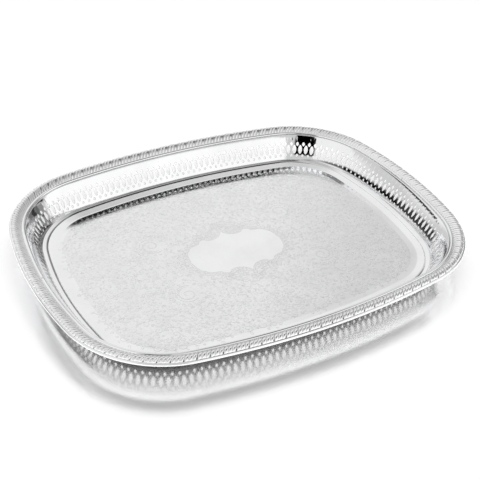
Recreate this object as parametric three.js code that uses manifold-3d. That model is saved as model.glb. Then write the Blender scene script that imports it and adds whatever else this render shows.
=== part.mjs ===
// An oblong silver gallery tray with bowed sides and round corners. A dished base plate lies
// inside a pierced, outward-leaning gallery. The gallery's turned-over top carries a gadroon
// mount, a half-round bead wire along its inner edge and a round edge wire along its outer edge.
//
// Millimetres, +Z up, +X along the tray's length. The origin is at the middle of the underside,
// on the surface that the tray stands on. "Inset" is a distance inwards, in plan, from the
// outermost edge of the tray.

import * as THREE from "three";
import { mergeVertices } from "three/addons/utils/BufferGeometryUtils.js";
import Module from "manifold-3d";

const wasm = await Module();
wasm.setup();

// Plan of the outermost edge: four bowed sides joined by four corner arcs.
const LENGTH = 410;
const WIDTH = 320;
const SIDE_RADIUS = 715; // bow of each long side
const END_RADIUS = 393; // bow of each short end
const CORNER_RADIUS = 96.5;

// Clear space between pieces that are soldered together.
const GAP = 0.3;

// Gallery: a leaning wall with its top turned outwards into a flange.
const GALLERY_TOP = 26.4;
const GALLERY_THICKNESS = 1;
const GALLERY_TOP_INSET = 15.2; // inner face of the wall, at the top
const GALLERY_FOOT_INSET = 29.8; // inner face of the wall, where it stands
const FLANGE_OUTER_INSET = 2.7;

// Piercing: upright pointed ovals, with rows of small lozenges above and below, set between them.
// "Down" runs from the top of the wall to the middle of the hole, along the wall's slope.
const PIERCING_PITCH = 6.5;
const OVAL = { down: 15.8, width: 4, height: 9.4, sides: 6, stagger: 0.5 };
const UPPER_LOZENGE = { down: 9.9, width: 2.8, height: 4.4, sides: 4, stagger: 1 };
const LOWER_LOZENGE = { down: 22.5, width: 2.6, height: 3.2, sides: 4, stagger: 1 };
// The cutters are long pyramids, wide end inside the tray, so that their flats hardly taper.
const CUTTER_LENGTH = 80;
const CUTTER_START = 2;

// Gadroon mount: a convex moulding whose outer lip reaches over the edge wire.
const MOUNT_LIP_INSET = 0.9;
const MOUNT_LIP_UNDERSIDE = 28.5;
const MOUNT_LIP_TOP = 29;
const MOUNT_CROWN_INSET = 4.6;
const MOUNT_HEIGHT = 31;
const MOUNT_INNER_INSET = 10.6;
const MOUNT_INNER_TOP = 28.3;
const MOUNT_ARC_POINTS = 4;

// Wires.
const EDGE_WIRE_RADIUS = 1.2;
const EDGE_WIRE_HEIGHT = 27; // level of its centre line
const EDGE_WIRE_SIDES = 6;
const BEAD_RADIUS = 1.8;
const BEAD_INSET = 12.8; // its middle line
const HALF_LOOP_STEPS = 44; // flats along each half loop of wire
const BEAD_SIDES = 4;

// Base plate: a flat field whose edge curves up into a lip inside the foot of the gallery.
const BASE_THICKNESS = 1.2;
const FIELD_INSET = 42;
const BASE_LIP_INSET = 28.8;
const BASE_LIP_TOP = 3;
const COVE_SEGMENTS = 3;
const CORNER_STEPS = 10; // flats round each corner of the base plate
const SIDE_STEPS = 8; // flats along each of its sides
const TRIM_MARGIN = 10; // how far the cutting block reaches past the base plate

// How finely each kind of arc is divided, in pitches of the piercing for each flat.
const SIDE_FLAT_PITCHES = 4;
const CORNER_FLAT_PITCHES = 1.5;

const SILVER = { color: 0xd9dadc, roughness: 0.12, metalness: 1 };
const ENGRAVED_SILVER = { color: 0xcfd1d3, roughness: 0.26, metalness: 1 };
const GADROON_SILVER = { color: 0xc9cacd, roughness: 0.18, metalness: 1 };

const HALF_TURN = Math.PI;
const QUARTER_TURN = Math.PI / 2;

// A level arc, run counter-clockwise, in the plane z = 0.
class LevelArc extends THREE.Curve {
  constructor(x, y, radius, start, end) {
    super();
    Object.assign(this, { x, y, radius, start, end });
  }

  getPoint(t, target = new THREE.Vector3()) {
    const angle = this.start + (this.end - this.start) * t;
    const x = this.x + this.radius * Math.cos(angle);
    return target.set(x, this.y + this.radius * Math.sin(angle), 0);
  }

  // The same arc with its ends drawn back, so that neighbours keep their gap.
  trimmed() {
    const back = GAP / 2 / (this.radius - GALLERY_FOOT_INSET);
    return new LevelArc(this.x, this.y, this.radius, this.start + back, this.end - back);
  }
}

// The eight arcs of the outermost edge, counter-clockwise from the right-hand end.
function planArcs() {
  const sideY = WIDTH / 2 - SIDE_RADIUS;
  const endX = LENGTH / 2 - END_RADIUS;
  const fromSide = SIDE_RADIUS - CORNER_RADIUS;
  const fromEnd = END_RADIUS - CORNER_RADIUS;
  const apart = Math.hypot(endX, sideY);
  const along = (fromSide ** 2 - fromEnd ** 2 + apart ** 2) / (2 * apart);
  const across = Math.sqrt(fromSide ** 2 - along ** 2);
  const unitX = endX / apart;
  const unitY = -sideY / apart;
  const cornerX = unitX * along + unitY * across;
  const cornerY = sideY + unitY * along - unitX * across;
  const x = Math.abs(cornerX);
  const y = Math.abs(cornerY);
  const endAngle = Math.atan2(y, x - endX);
  const sideAngle = Math.atan2(y - sideY, x);
  const corner = (cx, cy, start) =>
    new LevelArc(cx, cy, CORNER_RADIUS, start, start + sideAngle - endAngle);
  const side = (cx, cy, radius, middle, half) =>
    new LevelArc(cx, cy, radius, middle - half, middle + half);
  const sideHalf = QUARTER_TURN - sideAngle;
  return {
    right: side(endX, 0, END_RADIUS, 0, endAngle),
    corner_back_right: corner(x, y, endAngle),
    back: side(0, sideY, SIDE_RADIUS, QUARTER_TURN, sideHalf),
    corner_back_left: corner(-x, y, HALF_TURN - sideAngle),
    left: side(-endX, 0, END_RADIUS, HALF_TURN, endAngle),
    corner_front_left: corner(-x, -y, HALF_TURN + endAngle),
    front: side(0, -sideY, SIDE_RADIUS, HALF_TURN + QUARTER_TURN, sideHalf),
    corner_front_right: corner(x, -y, 2 * HALF_TURN - sideAngle),
  };
}

const ARCS = planArcs();
const isCorner = (name) => name.startsWith("corner");

// Sweeps a section along a path. The section's points are [inset, height].
function sweep(section, path, steps) {
  const shape = new THREE.Shape(section.map(([inset, height]) => new THREE.Vector2(-height, inset)));
  return new THREE.ExtrudeGeometry(shape, { steps, bevelEnabled: false, extrudePath: path });
}

function toSolid(geometry) {
  const bare = geometry.clone();
  bare.deleteAttribute("normal");
  bare.deleteAttribute("uv");
  const merged = mergeVertices(bare, 1e-4);
  return new wasm.Manifold(
    new wasm.Mesh({
      numProp: 3,
      vertProperties: merged.attributes.position.array,
      triVerts: new Uint32Array(merged.index.array),
    }),
  );
}

function toGeometry(solid) {
  const { vertProperties, triVerts } = solid.getMesh();
  const geometry = new THREE.BufferGeometry();
  geometry.setAttribute("position", new THREE.BufferAttribute(vertProperties, 3));
  geometry.setIndex(new THREE.BufferAttribute(triVerts, 1));
  geometry.computeVertexNormals();
  return geometry;
}

// The closed outline of the tray at an inset, as a flat shape.
function outlineShape(inset) {
  const points = [];
  for (const [name, arc] of Object.entries(ARCS)) {
    const count = isCorner(name) ? CORNER_STEPS : SIDE_STEPS;
    const inner = new LevelArc(arc.x, arc.y, arc.radius - inset, arc.start, arc.end);
    for (let i = 0; i < count; i++) {
      const point = inner.getPoint(i / count);
      points.push(new THREE.Vector2(point.x, point.y));
    }
  }
  return new THREE.Shape(points);
}

// Base plate --------------------------------------------------------------------------------

// A flat-bottomed bowl, filled in: its side curves out from the floor and ends upright.
function filledBowl(floorHeight, reach, rise) {
  const geometry = new THREE.ExtrudeGeometry(outlineShape(FIELD_INSET), {
    depth: rise,
    bevelEnabled: true,
    bevelSize: reach,
    bevelThickness: rise,
    bevelSegments: COVE_SEGMENTS,
  });
  return geometry.translate(0, 0, floorHeight + rise);
}

function basePlate() {
  const reach = FIELD_INSET - BASE_LIP_INSET;
  const outside = toSolid(filledBowl(0, reach, BASE_LIP_TOP));
  const inside = toSolid(filledBowl(BASE_THICKNESS, reach - BASE_THICKNESS, BASE_LIP_TOP));
  const block = new THREE.BoxGeometry(LENGTH + TRIM_MARGIN, WIDTH + TRIM_MARGIN, LENGTH);
  const above = toSolid(block.translate(0, 0, BASE_LIP_TOP + LENGTH / 2));
  return toGeometry(outside.subtract(inside).subtract(above));
}

// Gallery -----------------------------------------------------------------------------------

const WALL_RUN = GALLERY_FOOT_INSET - GALLERY_TOP_INSET;
const WALL_LEAN = Math.atan2(WALL_RUN, GALLERY_TOP); // from upright
const WALL_LEVEL_THICKNESS = GALLERY_THICKNESS / Math.cos(WALL_LEAN);

function gallerySection() {
  const underside = GALLERY_TOP - GALLERY_THICKNESS;
  const outerFoot = GALLERY_FOOT_INSET - WALL_LEVEL_THICKNESS;
  return [
    [GALLERY_FOOT_INSET, 0],
    [outerFoot, 0],
    [outerFoot - underside * Math.tan(WALL_LEAN), underside],
    [FLANGE_OUTER_INSET, underside],
    [FLANGE_OUTER_INSET, GALLERY_TOP],
    [GALLERY_TOP_INSET, GALLERY_TOP],
  ];
}

// A cutter that passes square through the wall, at an angle round an arc.
function piercingCutter(arc, angle, { down, width, height, sides }) {
  const outwards = new THREE.Vector3(Math.cos(angle), Math.sin(angle), 0);
  const tangent = new THREE.Vector3(-outwards.y, outwards.x, 0);
  const upSlope = outwards.clone().multiplyScalar(Math.sin(WALL_LEAN));
  upSlope.z = Math.cos(WALL_LEAN);
  const through = new THREE.Vector3().crossVectors(tangent, upSlope);
  const level = GALLERY_TOP - down * Math.cos(WALL_LEAN);
  const reach = arc.radius - GALLERY_TOP_INSET - down * Math.sin(WALL_LEAN);
  const centre = new THREE.Vector3(arc.x, arc.y, level).addScaledVector(outwards, reach);
  const place = new THREE.Matrix4().makeBasis(tangent, upSlope, through).setPosition(centre);
  const geometry = new THREE.ConeGeometry(1, CUTTER_LENGTH, sides);
  geometry.rotateX(QUARTER_TURN);
  geometry.computeBoundingBox();
  const wide = width / (2 * geometry.boundingBox.max.x);
  geometry.scale(wide, height / 2, 1);
  geometry.translate(0, 0, CUTTER_LENGTH / 2 - CUTTER_START);
  return toSolid(geometry.applyMatrix4(place));
}

function pierceCount(arc) {
  const reach = arc.radius - GALLERY_TOP_INSET - OVAL.down * Math.sin(WALL_LEAN);
  return Math.round(((arc.end - arc.start) * reach) / PIERCING_PITCH);
}

function galleryLength(name, arc) {
  const count = pierceCount(arc);
  const pitch = (arc.end - arc.start) / count;
  const flats = Math.round(count / (isCorner(name) ? CORNER_FLAT_PITCHES : SIDE_FLAT_PITCHES));
  let wall = toSolid(sweep(gallerySection(), arc.trimmed(), flats));
  for (const hole of [OVAL, UPPER_LOZENGE, LOWER_LOZENGE]) {
    for (let i = 0; i + hole.stagger < count; i++) {
      wall = wall.subtract(piercingCutter(arc, arc.start + (i + hole.stagger) * pitch, hole));
    }
  }
  return toGeometry(wall);
}

// Gadroon mount -----------------------------------------------------------------------------

function mountSection() {
  const bottom = GALLERY_TOP + GAP;
  const points = [
    [FLANGE_OUTER_INSET, bottom],
    [FLANGE_OUTER_INSET, MOUNT_LIP_UNDERSIDE],
    [MOUNT_LIP_INSET, MOUNT_LIP_UNDERSIDE],
  ];
  // Quarter ovals rise from the lip to the crown and fall from the crown to the inner edge.
  for (let i = 0; i <= MOUNT_ARC_POINTS; i++) {
    const angle = (QUARTER_TURN * i) / MOUNT_ARC_POINTS;
    const inset = MOUNT_CROWN_INSET - (MOUNT_CROWN_INSET - MOUNT_LIP_INSET) * Math.cos(angle);
    points.push([inset, MOUNT_LIP_TOP + (MOUNT_HEIGHT - MOUNT_LIP_TOP) * Math.sin(angle)]);
  }
  for (let i = 1; i <= MOUNT_ARC_POINTS; i++) {
    const angle = (QUARTER_TURN * i) / MOUNT_ARC_POINTS;
    const inset = MOUNT_CROWN_INSET + (MOUNT_INNER_INSET - MOUNT_CROWN_INSET) * Math.sin(angle);
    const drop = (MOUNT_HEIGHT - MOUNT_INNER_TOP) * (1 - Math.cos(angle));
    points.push([inset, MOUNT_HEIGHT - drop]);
  }
  points.push([MOUNT_INNER_INSET, bottom]);
  return points.reverse();
}

function mountLength(name, arc) {
  const flats = Math.round(pierceCount(arc) / (isCorner(name) ? 2 : SIDE_FLAT_PITCHES));
  return sweep(mountSection(), arc.trimmed(), flats);
}

// Wires -------------------------------------------------------------------------------------

// Five arcs of the plan, from the middle of one end round a long side to the middle of the other.
function halfLoop(startEnd, firstCorner, side, secondCorner, finishEnd) {
  const path = new THREE.CurvePath();
  const back = GAP / 2 / (END_RADIUS - GALLERY_FOOT_INSET);
  const halfArc = (arc, from, to) => {
    const middle = (arc.start + arc.end) / 2;
    const start = from === "middle" ? middle + back : arc.start;
    const end = to === "middle" ? middle - back : arc.end;
    return new LevelArc(arc.x, arc.y, arc.radius, start, end);
  };
  path.add(halfArc(startEnd, "middle", "end"));
  path.add(firstCorner);
  path.add(side);
  path.add(secondCorner);
  path.add(halfArc(finishEnd, "start", "middle"));
  return path;
}

function edgeWireSection() {
  const points = [];
  for (let i = 0; i < EDGE_WIRE_SIDES; i++) {
    const angle = (2 * HALF_TURN * (i + 0.5)) / EDGE_WIRE_SIDES;
    const reach = EDGE_WIRE_RADIUS / Math.cos(HALF_TURN / EDGE_WIRE_SIDES);
    const inset = EDGE_WIRE_RADIUS - reach * Math.cos(angle);
    points.push([inset, EDGE_WIRE_HEIGHT + reach * Math.sin(angle)]);
  }
  return points.reverse();
}

function beadSection() {
  const points = [];
  for (let i = 0; i <= BEAD_SIDES; i++) {
    const angle = (HALF_TURN * i) / BEAD_SIDES;
    const inset = BEAD_INSET - BEAD_RADIUS * Math.cos(angle);
    points.push([inset, GALLERY_TOP + GAP + BEAD_RADIUS * Math.sin(angle)]);
  }
  return points.reverse();
}

// Assembly ----------------------------------------------------------------------------------

const tray = new THREE.Group();

function addPiece(name, geometry, finish) {
  const mesh = new THREE.Mesh(geometry, new THREE.MeshStandardMaterial(finish));
  mesh.name = name;
  tray.add(mesh);
}

addPiece("base_plate", basePlate(), ENGRAVED_SILVER);

for (const [name, arc] of Object.entries(ARCS)) {
  addPiece("gallery_" + name, galleryLength(name, arc), SILVER);
  addPiece("gadroon_mount_" + name, mountLength(name, arc), GADROON_SILVER);
}

const LOOPS = {
  back: halfLoop(ARCS.right, ARCS.corner_back_right, ARCS.back, ARCS.corner_back_left, ARCS.left),
  front: halfLoop(ARCS.left, ARCS.corner_front_left, ARCS.front, ARCS.corner_front_right, ARCS.right),
};

for (const [name, path] of Object.entries(LOOPS)) {
  addPiece("edge_wire_" + name, sweep(edgeWireSection(), path, HALF_LOOP_STEPS), SILVER);
  addPiece("bead_wire_" + name, sweep(beadSection(), path, HALF_LOOP_STEPS), SILVER);
}

export default tray;
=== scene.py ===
"""Oblong silver gallery tray: the looks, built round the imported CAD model.

Plan dimensions are in millimetres. "Inset" is a distance inwards, in plan, from the tray's
outermost edge, and s is a distance along that edge, counter-clockwise from the right-hand end.
"""

import math

import bmesh
import bpy
import numpy as np
from mathutils import Matrix, Vector
from mathutils.geometry import delaunay_2d_cdt

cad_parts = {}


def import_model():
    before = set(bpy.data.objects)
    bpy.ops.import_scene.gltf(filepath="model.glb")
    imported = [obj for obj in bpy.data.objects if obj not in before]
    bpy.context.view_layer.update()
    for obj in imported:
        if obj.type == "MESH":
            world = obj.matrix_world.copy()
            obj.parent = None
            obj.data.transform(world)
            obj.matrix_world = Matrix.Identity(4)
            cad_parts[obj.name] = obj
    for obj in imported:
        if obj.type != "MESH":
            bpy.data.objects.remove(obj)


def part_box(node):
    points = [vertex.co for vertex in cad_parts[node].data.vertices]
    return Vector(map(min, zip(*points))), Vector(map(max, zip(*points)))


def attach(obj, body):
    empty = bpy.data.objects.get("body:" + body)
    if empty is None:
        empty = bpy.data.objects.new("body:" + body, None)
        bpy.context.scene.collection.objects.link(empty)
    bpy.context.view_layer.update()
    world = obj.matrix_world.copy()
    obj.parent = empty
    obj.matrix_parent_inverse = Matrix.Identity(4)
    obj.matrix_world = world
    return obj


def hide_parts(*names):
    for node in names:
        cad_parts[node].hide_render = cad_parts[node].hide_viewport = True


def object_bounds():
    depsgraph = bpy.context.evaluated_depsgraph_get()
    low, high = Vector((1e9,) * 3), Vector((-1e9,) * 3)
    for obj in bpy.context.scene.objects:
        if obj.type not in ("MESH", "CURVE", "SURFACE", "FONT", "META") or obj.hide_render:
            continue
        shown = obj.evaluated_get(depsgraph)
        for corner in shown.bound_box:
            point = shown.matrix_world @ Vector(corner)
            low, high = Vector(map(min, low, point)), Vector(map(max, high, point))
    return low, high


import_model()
CAD_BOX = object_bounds()
MM = 0.001
SCENE = bpy.context.scene

# Plan of the outermost edge, as in the CAD: four bowed sides and four corner arcs.
HALF_LENGTH = CAD_BOX[1].x / MM
HALF_WIDTH = CAD_BOX[1].y / MM
SIDE_RADIUS = 715.0
END_RADIUS = 393.0
CORNER_RADIUS = 96.5

# Levels, read from the CAD nodes.
GALLERY_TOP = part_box("gallery_back")[1].z / MM
MOUNT_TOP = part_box("gadroon_mount_back")[1].z / MM
BASE_LIP_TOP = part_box("base_plate")[1].z / MM
EDGE_WIRE_LEVEL = sum(corner.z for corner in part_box("edge_wire_back")) / 2 / MM

# Insets of the gallery wall's inner face at its top and foot, and thickness of its sheet.
TOP_INSET = 15.2
FOOT_INSET = 29.8
FIELD_LEVEL = 1.2
THICKNESS = 1.0
SLOPE_LENGTH = math.hypot(FOOT_INSET - TOP_INSET, GALLERY_TOP)
# Pitches of the piercing, and threes of gadroons, in each kind of length.
PITCHES = {"end": 21, "corner": 14, "side": 36}
UNITS = {"end": 14, "corner": 11, "side": 22}


# ---- Plan ----


def plan_arcs():
    """The eight arcs as (name, kind, centre x, centre y, radius, start, end)."""
    side_y = HALF_WIDTH - SIDE_RADIUS
    end_x = HALF_LENGTH - END_RADIUS
    from_side = SIDE_RADIUS - CORNER_RADIUS
    from_end = END_RADIUS - CORNER_RADIUS
    apart = math.hypot(end_x, side_y)
    along = (from_side**2 - from_end**2 + apart**2) / (2 * apart)
    across = math.sqrt(from_side**2 - along**2)
    ux, uy = end_x / apart, -side_y / apart
    x = abs(ux * along + uy * across)
    y = abs(side_y + uy * along - ux * across)
    end_angle = math.atan2(y, x - end_x)
    side_angle = math.atan2(y - side_y, x)
    half = math.pi / 2 - side_angle
    turn, full = math.pi, 2 * math.pi
    return [
        ("right", "end", end_x, 0, END_RADIUS, -end_angle, end_angle),
        ("corner_back_right", "corner", x, y, CORNER_RADIUS, end_angle, side_angle),
        ("back", "side", 0, side_y, SIDE_RADIUS, side_angle, side_angle + 2 * half),
        ("corner_back_left", "corner", -x, y, CORNER_RADIUS, turn - side_angle, turn - end_angle),
        ("left", "end", -end_x, 0, END_RADIUS, turn - end_angle, turn + end_angle),
        ("corner_front_left", "corner", -x, -y, CORNER_RADIUS, turn + end_angle, turn + side_angle),
        ("front", "side", 0, -side_y, SIDE_RADIUS, turn + side_angle, full - side_angle),
        ("corner_front_right", "corner", x, -y, CORNER_RADIUS, full - side_angle, full - end_angle),
    ]


ARCS = plan_arcs()
_cx, _cy, _r, _a0, _a1 = (np.array([a[i] for a in ARCS], float) for i in (2, 3, 4, 5, 6))
_lengths = (_a1 - _a0) * _r
_starts = np.concatenate([[0.0], np.cumsum(_lengths)])
PERIMETER = _starts[-1]


def plan(s, inset):
    """Points of the plan at distances s along the edge, at insets from it."""
    s = np.mod(s, PERIMETER)
    k = np.clip(np.searchsorted(_starts, s, side="right") - 1, 0, len(ARCS) - 1)
    angle = _a0[k] + (s - _starts[k]) / _r[k]
    reach = _r[k] - inset
    return _cx[k] + reach * np.cos(angle), _cy[k] + reach * np.sin(angle)


# ---- Meshes ----


def add_mesh(name, points, faces, materials, nodes=(), indices=None, values=None, weld=None):
    """Makes a smooth mesh object from points in millimetres, riding on the tray's body.

    Values are how dark each point is, 0 to 1. Points closer than weld, in millimetres, are merged.
    """
    mesh = bpy.data.meshes.new(name)
    mesh.from_pydata((np.asarray(points) * MM).tolist(), [], faces)
    if values is not None:
        layer = mesh.attributes.new("darkening", "FLOAT", "POINT")
        layer.data.foreach_set("value", np.asarray(values, np.float32))
    for material in materials:
        mesh.materials.append(material)
    if indices is not None:
        mesh.polygons.foreach_set("material_index", np.asarray(indices, np.int32))
    bm = bmesh.new()
    bm.from_mesh(mesh)
    if weld:
        bmesh.ops.remove_doubles(bm, verts=bm.verts, dist=weld * MM)
    bmesh.ops.recalc_face_normals(bm, faces=bm.faces)
    bm.to_mesh(mesh)
    bm.free()
    mesh.shade_smooth()
    obj = bpy.data.objects.new(name, mesh)
    SCENE.collection.objects.link(obj)
    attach(obj, "root")
    if nodes:
        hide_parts(*nodes)


def grid_faces(rows, columns, closed_columns=False):
    """Quads of a grid whose point (r, c) has index r * columns + c."""
    r = np.arange(rows - 1)[:, None]
    last = columns if closed_columns else columns - 1
    c = np.arange(last)[None, :]
    n = (c + 1) % columns
    near, far = r * columns, (r + 1) * columns
    return np.stack([near + c, near + n, far + n, far + c], -1).reshape(-1, 4).tolist()


def swept(section, s, closed=True):
    """Sweeps a section of (inset, level) pairs along the edge at distances s."""
    section = np.asarray(section, float)
    x, y = plan(s[:, None], section[None, :, 0])
    z = np.broadcast_to(section[None, :, 1], x.shape)
    points = np.stack([x, y, z], -1).reshape(-1, 3)
    faces = grid_faces(len(s), len(section), closed)
    if closed:
        columns = len(section)
        faces.append(list(range(columns)))
        faces.append([(len(s) - 1) * columns + i for i in reversed(range(columns))])
    return points, faces


# ---- Materials ----


class Nodes:
    """A short way to build one material's node tree."""

    def __init__(self, name):
        self.material = bpy.data.materials.new(name)
        self.material.use_nodes = True
        self.tree = self.material.node_tree
        self.shader = self.tree.nodes["Principled BSDF"]
        self.where = self.add("ShaderNodeTexCoord").outputs["Object"]

    def add(self, kind, inputs=None, **settings):
        node = self.tree.nodes.new(kind)
        for key, value in settings.items():
            setattr(node, key, value)
        for key, value in (inputs or {}).items():
            if isinstance(value, bpy.types.NodeSocket):
                self.tree.links.new(value, node.inputs[key])
            else:
                node.inputs[key].default_value = value
        return node

    def plus(self, a, b):
        return self.add("ShaderNodeMath", {0: a, 1: b}, operation="ADD").outputs[0]

    def noise(self, scale, detail, roughness, vector=None, output="Fac"):
        inputs = {"Vector": vector or self.where, "Scale": scale, "Detail": detail}
        return self.add("ShaderNodeTexNoise", {**inputs, "Roughness": roughness}).outputs[output]

    def ramp(self, value, low, high, to_low=0.0, to_high=1.0):
        ends = {"From Min": low, "From Max": high, "To Min": to_low, "To Max": to_high}
        return self.add("ShaderNodeMapRange", {"Value": value, **ends}).outputs["Result"]

    def vector(self, operation, inputs):
        return self.add("ShaderNodeVectorMath", inputs, operation=operation).outputs[0]

    def mix(self, factor, a, b):
        node = self.add("ShaderNodeMix", {0: factor, 6: a, 7: b}, data_type="RGBA")
        return node.outputs[2]

    def bump(self, height, distance, strength=1.0, normal=None):
        inputs = {"Height": height, "Distance": distance, "Strength": strength}
        if normal is not None:
            inputs["Normal"] = normal
        return self.add("ShaderNodeBump", inputs).outputs["Normal"]

    def surface(self, shader):
        output = self.tree.nodes["Material Output"]
        self.tree.links.new(shader, output.inputs["Surface"])

    def connect(self, **sockets):
        for key, value in sockets.items():
            target = self.shader.inputs[key.replace("_", " ")]
            if isinstance(value, bpy.types.NodeSocket):
                self.tree.links.new(value, target)
            else:
                target.default_value = value
        return self.material


def rgb(r, g, b):
    return (r, g, b, 1.0)


# The silver's marks. Scales are in features per metre, heights and depths in metres.
CLOUD_SCALE = 22.0
CLOUD_TONE = 0.93
RUB_SCALE = 420.0
RUB_STRETCH = (1.0, 14.0, 3.0)
RUB_DEPTH = 0.000004
WAVE_SCALE = 55.0
WAVE_HEIGHT = 0.00012
# How the point values mix in the dark tone: painted shade and painted dark reflections, and patina
# in the gadroons' grooves.
DARKENING_FROM = 0.35
DARKENING_MIX = 0.96


def silver(name, tone, roughness, dark=None):
    """Polished silver: faint clouds where it is slightly tarnished, fine rub marks and a slightly
    uneven surface.

    Where the values on the mesh's points are high, the silver turns to the dark tone. On the
    gallery, the base and the gadroons' lip and inner edge, these values are painted shade and
    painted dark reflections. In the gadroons' grooves, seams and notches they are patina and dark
    joints, and on the engraving they are its dark lines.
    """
    n = Nodes(name)
    clouds = n.noise(CLOUD_SCALE, 5.0, 0.6)
    stretch = {"Vector": n.where, "Scale": RUB_STRETCH}
    rubs = n.noise(RUB_SCALE, 3.0, 0.7, n.add("ShaderNodeMapping", stretch).outputs[0])
    bright = rgb(*tone)
    dull = rgb(*(v * CLOUD_TONE for v in tone))
    colour = n.mix(n.ramp(clouds, 0.42, 0.72), bright, dull)
    if dark is not None:
        darkening = n.add("ShaderNodeAttribute", attribute_name="darkening").outputs["Fac"]
        colour = n.mix(n.ramp(darkening, DARKENING_FROM, 1.0, 0.0, DARKENING_MIX), colour, rgb(*dark))
    cloudy = n.ramp(clouds, 0.3, 0.8, roughness, roughness * 1.7)
    rough = n.plus(cloudy, n.ramp(rubs, 0.5, 0.9, 0.0, 0.05))
    uneven = n.bump(n.noise(WAVE_SCALE, 2.0, 0.5), WAVE_HEIGHT, 0.6)
    normal = n.bump(rubs, RUB_DEPTH, 0.5, uneven)
    return n.connect(Base_Color=colour, Metallic=1.0, Roughness=rough, Normal=normal)


# The engraved ground. Scales are in features per metre, reach and depth in metres.
DRIFT_SCALE = 95.0
DRIFT_REACH = 0.009
LEAF_SCALE = 330.0
LEAF_DEPTH = 0.00003
PATCH_SCALE = 38.0


def engraved_silver():
    """Silver under close, shallow bright-cut work: a fine ground of curling edges."""
    n = Nodes("engraved_silver_finish")
    drift = n.noise(DRIFT_SCALE, 2.0, 0.5, output="Color")
    centred = n.vector("SUBTRACT", {0: drift, 1: (0.5, 0.5, 0.5)})
    shift = n.vector("SCALE", {0: centred, "Scale": DRIFT_REACH})
    bent = n.vector("ADD", {0: n.where, 1: shift})
    leaves = n.add(
        "ShaderNodeTexVoronoi", {"Vector": bent, "Scale": LEAF_SCALE}, feature="DISTANCE_TO_EDGE"
    ).outputs["Distance"]
    edges = n.ramp(leaves, 0.0, 0.14)
    patches = n.noise(PATCH_SCALE, 4.0, 0.6)
    light, deep, line = rgb(0.905, 0.906, 0.91), rgb(0.85, 0.852, 0.86), rgb(0.4, 0.405, 0.42)
    colour = n.mix(n.ramp(patches, 0.35, 0.7), light, deep)
    colour = n.mix(n.ramp(edges, 0.0, 0.8, 0.13, 0.0), colour, line)
    rough = n.ramp(patches, 0.3, 0.75, 0.05, 0.09)
    normal = n.bump(edges, LEAF_DEPTH, 0.5)
    return n.connect(Base_Color=colour, Metallic=1.0, Roughness=rough, Normal=normal)


# The second tone is the black of the painted shade and painted dark reflections on the base and the
# gallery.
TONE, SHADE_BLACK = (0.94, 0.942, 0.95), (0.03, 0.03, 0.03)
PLAIN = silver("plain_silver_finish", TONE, 0.05)
BASE = silver("base_silver_finish", TONE, 0.06, SHADE_BLACK)
WALL = silver("gallery_silver_finish", TONE, 0.04, SHADE_BLACK)
GADROON = silver("gadroon_silver_finish", (0.92, 0.921, 0.925), 0.09, (0.2, 0.2, 0.21))
ENGRAVED = engraved_silver()
CUTS = silver("bright_cut_finish", (0.96, 0.961, 0.965), 0.12, (0.07, 0.07, 0.072))


# ---- Gallery: a pierced, leaning wall with its top turned out into a flange ----

# The wall flares near its top and stands a little straighter at its foot. These are its leans
# from upright, in degrees, at distances down the slope.
FLARE = [(0, 43.0), (3, 37.5), (6, 32.5), (9, 30.0), (19, 28.0), (22, 25.0), (26, 21.0), (31, 18.0)]
PROFILE_POINTS = 121

# The piercing. Each hole has its middle at "down" on the slope, and "power" rounds its outline:
# 2 is an ellipse and 1 is a diamond. The oval stands in the middle of each pitch, and the other
# two stand between the pitches.
OVAL = {"down": 15.8, "width": 4.0, "height": 9.4, "power": 1.75}
UPPER = {"down": 9.9, "width": 2.8, "height": 4.4, "power": 1.35}
LOWER = {"down": 22.5, "width": 2.6, "height": 3.2, "power": 1.5}
# The holes that bound one pitch, with how many half pitches each stands from its middle.
CELL_HOLES = [(OVAL, 0), (UPPER, 1), (UPPER, -1), (LOWER, 1), (LOWER, -1)]
HOLE_POINTS = 20
# How far each ring of a hole's edge stands out from the hole, and how deep it lies in the sheet.
EDGE_RINGS = [
    (0.3, 0.0), (0.13, 0.0), (0.04, 0.04), (0.0, 0.15),
    (0.0, 0.85), (0.04, 0.96), (0.13, 1.0), (0.3, 1.0),
]
# Points of the wall closer than this are merged, so that its pitches join.
WELD = 0.002
# The pierced part of the slope, and the points across its ends and inside it.
CELL_TOP = 1.4
CELL_FOOT = SLOPE_LENGTH - 0.8
COLUMNS = 4
SKIN_COLUMNS, SKIN_ROWS = 8, 18
SKIN_GAP = 0.4

# Dark reflections and shade are painted low on the wall's inner face. Each stretch is (arc and
# fraction where it begins, arc and fraction where it ends, how far down the slope its upper edge
# lies at its two ends, the same for its lower edge, strength). Its edges fade out over the
# distances below.
WALL_PAINTED_SHADE = [
    (0, -0.1, 1, 0.6, (9.0, 24.0), (23.0, 28.0), 1.0),
    (3, 0.5, 4, 0.2, (9.0, 9.0), (40.0, 40.0), 0.8),
    (0, 0.0, 8, 0.0, (25.5, 25.5), (40.0, 40.0), 0.75),
]
WALL_SHADE_EASE, WALL_SHADE_UPPER_EASE, WALL_SHADE_LOWER_EASE = 16.0, 3.5, 2.0
WALL_SHADE_FALL = 1.25
# Painted shade on the walls of the holes: they are at least this dark.
HOLE_WALL_SHADE = 0.6
# Painted shade on the outer face, darker towards its foot: how dark it is at its top and from
# this share of the slope down.
OUTER_SHADE = (0.35, 1.0)
OUTER_SHADE_REACH = 0.78
# Painted shade: the dark line between the wall's top and the half-round wire.
GROOVE_INSET, GROOVE_HALF_WIDTH = TOP_INSET - 0.6, 0.35
GROOVE_FOOT = GALLERY_TOP - 0.9


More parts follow.
